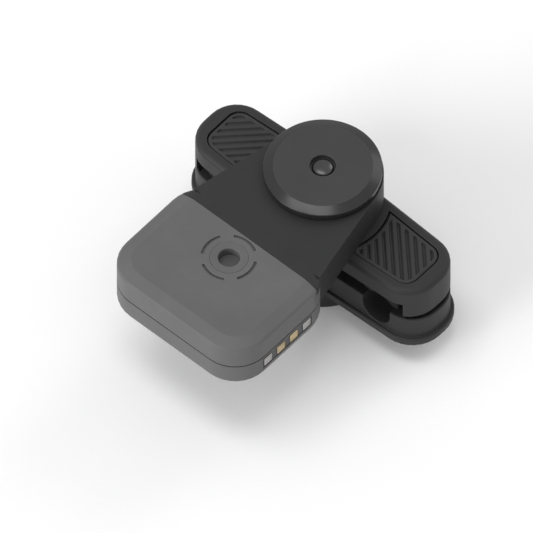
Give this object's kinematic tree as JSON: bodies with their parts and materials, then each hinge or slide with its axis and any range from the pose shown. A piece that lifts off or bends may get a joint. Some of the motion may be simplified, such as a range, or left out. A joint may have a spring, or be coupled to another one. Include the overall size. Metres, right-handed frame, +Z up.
{
  "type": "saddle rail mount",
  "caption": "Knob-tightened clamp of an upper and a lower bar that grips two parallel rods and carries a small electronics box on a swivelling arm.",
  "frame": {"origin": "on the knob axis, midway between the two rod grooves, at the height of the rod centres", "axes": "+X across the rods, +Y along the rods away from the box, +Z up to the knob"},
  "size_m": [0.066, 0.0603, 0.0349],
  "materials": {
    "bar_nylon": "fine moulded grain, near black",
    "panel_nylon": "moulded with diagonal grooves",
    "jaw_rubber": "matt rubber",
    "ring_nylon": "toothed, matt",
    "cap_nylon": "fine moulded grain",
    "knob_nylon": "satin top with a smooth sloped edge",
    "arm_nylon": "fine moulded grain",
    "box_plastic": "mid grey, fine moulded grain",
    "socket_plastic": "mid grey, smooth",
    "strip_plastic": "dark insulator",
    "gasket_rubber": "matt",
    "zinc_steel": "zinc plated",
    "spring_steel": "drawn wire",
    "pin_steel": "blackened",
    "bush_bronze": "sintered",
    "contact_gold": "gilded",
    "latch_steel": "bright",
    "board_laminate": "solder mask",
    "cell_foil": "foil pouch"
  },
  "bodies": {
    "clamp_top": {"upper_bar": "bar_nylon", "grip_panel_left": "panel_nylon", "grip_panel_right": "panel_nylon", "jaw_pad_left": "jaw_rubber", "jaw_pad_right": "jaw_rubber", "index_ring": "ring_nylon", "return_spring": "spring_steel"},
    "knob": {"knob_cap": "knob_nylon", "knob_pin": "pin_steel", "clamp_stud": "zinc_steel", "stop_clip": "spring_steel", "thrust_washer": "zinc_steel"},
    "foot": {"lower_bar": "bar_nylon", "clamp_nut": "zinc_steel", "boss_cap": "cap_nylon"},
    "module": {"hub_arm": "arm_nylon", "hub_bush": "bush_bronze", "box_top_shell": "box_plastic", "box_bottom_shell": "box_plastic", "shell_gasket": "gasket_rubber", "socket_insert": "socket_plastic", "contact_strip": "strip_plastic", "contact_pads": "contact_gold", "latch_plates": "latch_steel", "circuit_board": "board_laminate", "battery_cell": "cell_foil", "case_screws": "zinc_steel", "arm_screws": "zinc_steel"}
  },
  "joints": [
    {"name": "knob_turn", "type": "hinge", "parent": "clamp_top", "child": "knob", "pos_m": [0, 0, 0.02], "axis": [0, 0, 1], "range_deg": [0, 1800]},
    {"name": "foot_slide", "type": "slide", "parent": "clamp_top", "child": "foot", "axis": [0, 0, -1], "range_m": [0, 0.004], "deforming": ["return_spring"]},
    {"name": "arm_swing", "type": "hinge", "parent": "clamp_top", "child": "module", "pos_m": [0, 0, 0.016], "axis": [0, 0, 1], "range_deg": [-25, 25]}
  ],
  "couplings": [
    {"joint": "knob_turn", "follows": "foot_slide", "rad_per_m": 7850}
  ]
}
